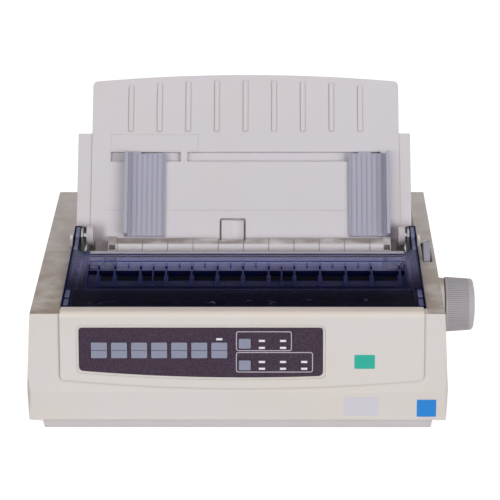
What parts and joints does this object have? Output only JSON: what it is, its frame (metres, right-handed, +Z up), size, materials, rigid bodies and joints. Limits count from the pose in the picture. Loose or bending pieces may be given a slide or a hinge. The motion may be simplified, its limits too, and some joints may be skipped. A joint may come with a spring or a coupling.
{
  "type": "dot matrix printer",
  "caption": "Desktop dot matrix printer with a hinged smoked cover, a raised paper separator with sheet guides, a key panel, a platen knob and a push tractor feed.",
  "frame": {"origin": "on the table in the plane of the rubber feet, under the middle of the box round the whole printer; the middle of the case lies 15.55 mm to its left", "axes": "+X to the printer's right as seen from its control panel, +Y to its rear, +Z up"},
  "size_m": [0.399, 0.3469, 0.2479],
  "materials": {
    "warm_abs": "fine moulded grain",
    "plinth_abs": "fine moulded grain",
    "separator_abs": "fine moulded grain",
    "guide_plastic": "satin",
    "smoked_cover": "clear smoked, polished",
    "foam": "open-cell foam",
    "overlay_film": "satin film",
    "key_plastic": "satin",
    "lamp_plastic": "clear tinted",
    "knob_plastic": "satin",
    "platen_rubber": "ground",
    "foot_rubber": "matt",
    "bright_steel": "ground",
    "zinc_sheet": "zinc plated sheet",
    "black_sheet": "satin black paint",
    "acetal": "natural, self-lubricating",
    "brass": "turned",
    "dark_moulding": "fine grain",
    "grey_moulding": "fine grain",
    "head_alloy": "die cast",
    "motor_can": "satin",
    "ribbon_cloth": "inked weave",
    "belt_rubber": "toothless, woven back",
    "ribbon_blue": "satin",
    "board_green": "solder resist",
    "core_steel": "varnished laminations"
  },
  "bodies": {
    "frame": {"upper_case": "warm_abs", "lower_case": "plinth_abs", "rubber_feet": "foot_rubber", "case_screws": "bright_steel", "chassis_plate": "zinc_sheet", "side_frame_left": "zinc_sheet", "side_frame_right": "zinc_sheet", "control_overlay": "overlay_film", "lamp_windows": "lamp_plastic", "panel_board": "board_green", "hinge_pins": "bright_steel", "platen_bushes": "acetal", "feed_motor": "motor_can", "tractor_support_shaft": "bright_steel", "carriage_shaft": "bright_steel", "spacing_motor": "motor_can", "carriage_belt": "belt_rubber", "paper_pan": "black_sheet", "main_board": "board_green", "power_transformer": "core_steel", "ac_inlet": "dark_moulding", "interface_connector": "bright_steel"},
    "cover": {"access_cover": "smoked_cover", "cover_foam": "foam"},
    "separator": {"paper_separator": "separator_abs", "paper_guide_bar": "separator_abs"},
    "left_guide": {"left_sheet_guide": "guide_plastic"},
    "right_guide": {"right_sheet_guide": "guide_plastic"},
    "platen": {"platen_roller": "platen_rubber", "platen_shaft": "bright_steel", "platen_gear": "acetal", "platen_knob": "knob_plastic"},
    "pinion": {"feed_pinion": "brass"},
    "tractor_idler": {"tractor_idler_gear": "acetal"},
    "tractor_shaft": {"tractor_drive_shaft": "bright_steel"},
    "tractor_l": {"left_tractor": "grey_moulding"},
    "tractor_r": {"right_tractor": "grey_moulding"},
    "sprocket_l": {"left_sprocket": "dark_moulding"},
    "sprocket_r": {"right_sprocket": "dark_moulding"},
    "lid_l": {"left_tractor_lid": "grey_moulding"},
    "lid_r": {"right_tractor_lid": "grey_moulding"},
    "head_carriage": {"carriage": "grey_moulding", "print_head": "head_alloy", "ribbon_cartridge": "dark_moulding", "ribbon": "ribbon_cloth"},
    "knob_of_ribbon": {"ribbon_knob": "ribbon_blue"},
    "pulley_of_motor": {"motor_pulley": "bright_steel"},
    "pulley_idle": {"idler_pulley": "acetal"},
    "lever": {"paper_lever": "guide_plastic"},
    "pinch": {"pinch_rollers": "platen_rubber"},
    "rocker": {"power_switch": "dark_moulding"},
    "key_1_body": {"key_1": "key_plastic"},
    "key_2_body": {"key_2": "key_plastic"},
    "key_3_body": {"key_3": "key_plastic"},
    "key_4_body": {"key_4": "key_plastic"},
    "key_5_body": {"key_5": "key_plastic"},
    "key_6_body": {"key_6": "key_plastic"},
    "key_7_body": {"key_7": "key_plastic"},
    "key_8_body": {"key_8": "key_plastic"},
    "key_9_body": {"key_9": "key_plastic"}
  },
  "joints": [
    {"name": "cover_hinge", "type": "hinge", "parent": "frame", "child": "cover", "pos_m": [-0.01055, 0.01, 0.1155], "axis": [-1, 0, 0], "range_deg": [0, 80]},
    {"name": "separator_hinge", "type": "hinge", "parent": "frame", "child": "separator", "pos_m": [-0.01055, 0.015, 0.118], "axis": [-1, 0, 0], "range_deg": [0, 54]},
    {"name": "left_guide_slide", "type": "slide", "parent": "separator", "child": "left_guide", "axis": [1, 0, 0], "range_m": [-0.008, 0.036]},
    {"name": "right_guide_slide", "type": "slide", "parent": "separator", "child": "right_guide", "axis": [1, 0, 0], "range_m": [-0.11, 0.006]},
    {"name": "platen_spin", "type": "hinge", "parent": "frame", "child": "platen", "pos_m": [-0.01055, -0.05, 0.0735], "axis": [1, 0, 0], "continuous": true},
    {"name": "pinion_spin", "type": "hinge", "parent": "frame", "child": "pinion", "pos_m": [-0.18255, -0.07605, 0.05165], "axis": [1, 0, 0], "continuous": true},
    {"name": "tractor_idler_spin", "type": "hinge", "parent": "frame", "child": "tractor_idler", "pos_m": [-0.18255, 0.0004, 0.0657], "axis": [1, 0, 0], "continuous": true},
    {"name": "tractor_shaft_spin", "type": "hinge", "parent": "frame", "child": "tractor_shaft", "pos_m": [-0.01055, 0.034, 0.0755], "axis": [1, 0, 0], "continuous": true},
    {"name": "left_tractor_slide", "type": "slide", "parent": "frame", "child": "tractor_l", "axis": [1, 0, 0], "range_m": [-0.006, 0.02]},
    {"name": "right_tractor_slide", "type": "slide", "parent": "frame", "child": "tractor_r", "axis": [1, 0, 0], "range_m": [-0.11, 0.006]},
    {"name": "left_sprocket_spin", "type": "hinge", "parent": "tractor_l", "child": "sprocket_l", "pos_m": [-0.13155, 0.034, 0.0755], "axis": [1, 0, 0], "continuous": true},
    {"name": "right_sprocket_spin", "type": "hinge", "parent": "tractor_r", "child": "sprocket_r", "pos_m": [0.11045, 0.034, 0.0755], "axis": [1, 0, 0], "continuous": true},
    {"name": "left_lid_hinge", "type": "hinge", "parent": "tractor_l", "child": "lid_l", "pos_m": [-0.14275, 0.046, 0.0874], "axis": [0, -1, 0], "range_deg": [0, 100]},
    {"name": "right_lid_hinge", "type": "hinge", "parent": "tractor_r", "child": "lid_r", "pos_m": [0.12165, 0.046, 0.0874], "axis": [0, 1, 0], "range_deg": [0, 100]},
    {"name": "carriage_slide", "type": "slide", "parent": "frame", "child": "head_carriage", "axis": [1, 0, 0], "range_m": [0, 0.2]},
    {"name": "motor_pulley_spin", "type": "hinge", "parent": "frame", "child": "pulley_of_motor", "pos_m": [0.12045, -0.109, 0.032], "axis": [0, 1, 0], "range_deg": [-1, 1434]},
    {"name": "idler_pulley_spin", "type": "hinge", "parent": "frame", "child": "pulley_idle", "pos_m": [-0.14555, -0.109, 0.032], "axis": [0, 1, 0], "range_deg": [-1, 1434]},
    {"name": "ribbon_knob_spin", "type": "hinge", "parent": "head_carriage", "child": "knob_of_ribbon", "pos_m": [-0.13655, -0.122, 0.092], "axis": [0, 0, 1], "continuous": true},
    {"name": "paper_lever_hinge", "type": "hinge", "parent": "frame", "child": "lever", "pos_m": [0.15655, -0.018, 0.0775], "axis": [-1, 0, 0], "range_deg": [0, 44]},
    {"name": "pinch_spin", "type": "hinge", "parent": "frame", "child": "pinch", "pos_m": [-0.01055, -0.03721, 0.05523], "axis": [1, 0, 0], "continuous": true},
    {"name": "key_1_press", "type": "slide", "parent": "frame", "child": "key_1_body", "axis": [0, 0.9924, -0.1233], "range_m": [0, 0.0006], "stiffness_N_per_m": 400},
    {"name": "key_2_press", "type": "slide", "parent": "frame", "child": "key_2_body", "axis": [0, 0.9924, -0.1233], "range_m": [0, 0.0006], "stiffness_N_per_m": 400},
    {"name": "key_3_press", "type": "slide", "parent": "frame", "child": "key_3_body", "axis": [0, 0.9924, -0.1233], "range_m": [0, 0.0006], "stiffness_N_per_m": 400},
    {"name": "key_4_press", "type": "slide", "parent": "frame", "child": "key_4_body", "axis": [0, 0.9924, -0.1233], "range_m": [0, 0.0006], "stiffness_N_per_m": 400},
    {"name": "key_5_press", "type": "slide", "parent": "frame", "child": "key_5_body", "axis": [0, 0.9924, -0.1233], "range_m": [0, 0.0006], "stiffness_N_per_m": 400},
    {"name": "key_6_press", "type": "slide", "parent": "frame", "child": "key_6_body", "axis": [0, 0.9924, -0.1233], "range_m": [0, 0.0006], "stiffness_N_per_m": 400},
    {"name": "key_7_press", "type": "slide", "parent": "frame", "child": "key_7_body", "axis": [0, 0.9924, -0.1233], "range_m": [0, 0.0006], "stiffness_N_per_m": 400},
    {"name": "key_8_press", "type": "slide", "parent": "frame", "child": "key_8_body", "axis": [0, 0.9924, -0.1233], "range_m": [0, 0.0006], "stiffness_N_per_m": 400},
    {"name": "key_9_press", "type": "slide", "parent": "frame", "child": "key_9_body", "axis": [0, 0.9924, -0.1233], "range_m": [0, 0.0006], "stiffness_N_per_m": 400},
    {"name": "power_switch_rock", "type": "hinge", "parent": "frame", "child": "rocker", "pos_m": [0.13045, 0.1675, 0.035], "axis": [1, 0, 0], "range_deg": [-16, 0]}
  ],
  "couplings": [
    {"joint": "pinion_spin", "follows": "platen_spin", "ratio": -4.6667},
    {"joint": "tractor_idler_spin", "follows": "platen_spin", "ratio": -1.2174},
    {"joint": "tractor_shaft_spin", "follows": "platen_spin", "ratio": 2.3333},
    {"joint": "left_sprocket_spin", "follows": "platen_spin", "ratio": 2.3333},
    {"joint": "right_sprocket_spin", "follows": "platen_spin", "ratio": 2.3333},
    {"joint": "pinch_spin", "follows": "platen_spin", "ratio": -2.6667},
    {"joint": "motor_pulley_spin", "follows": "carriage_slide", "rad_per_m": 125},
    {"joint": "idler_pulley_spin", "follows": "carriage_slide", "rad_per_m": 125}
  ]
}
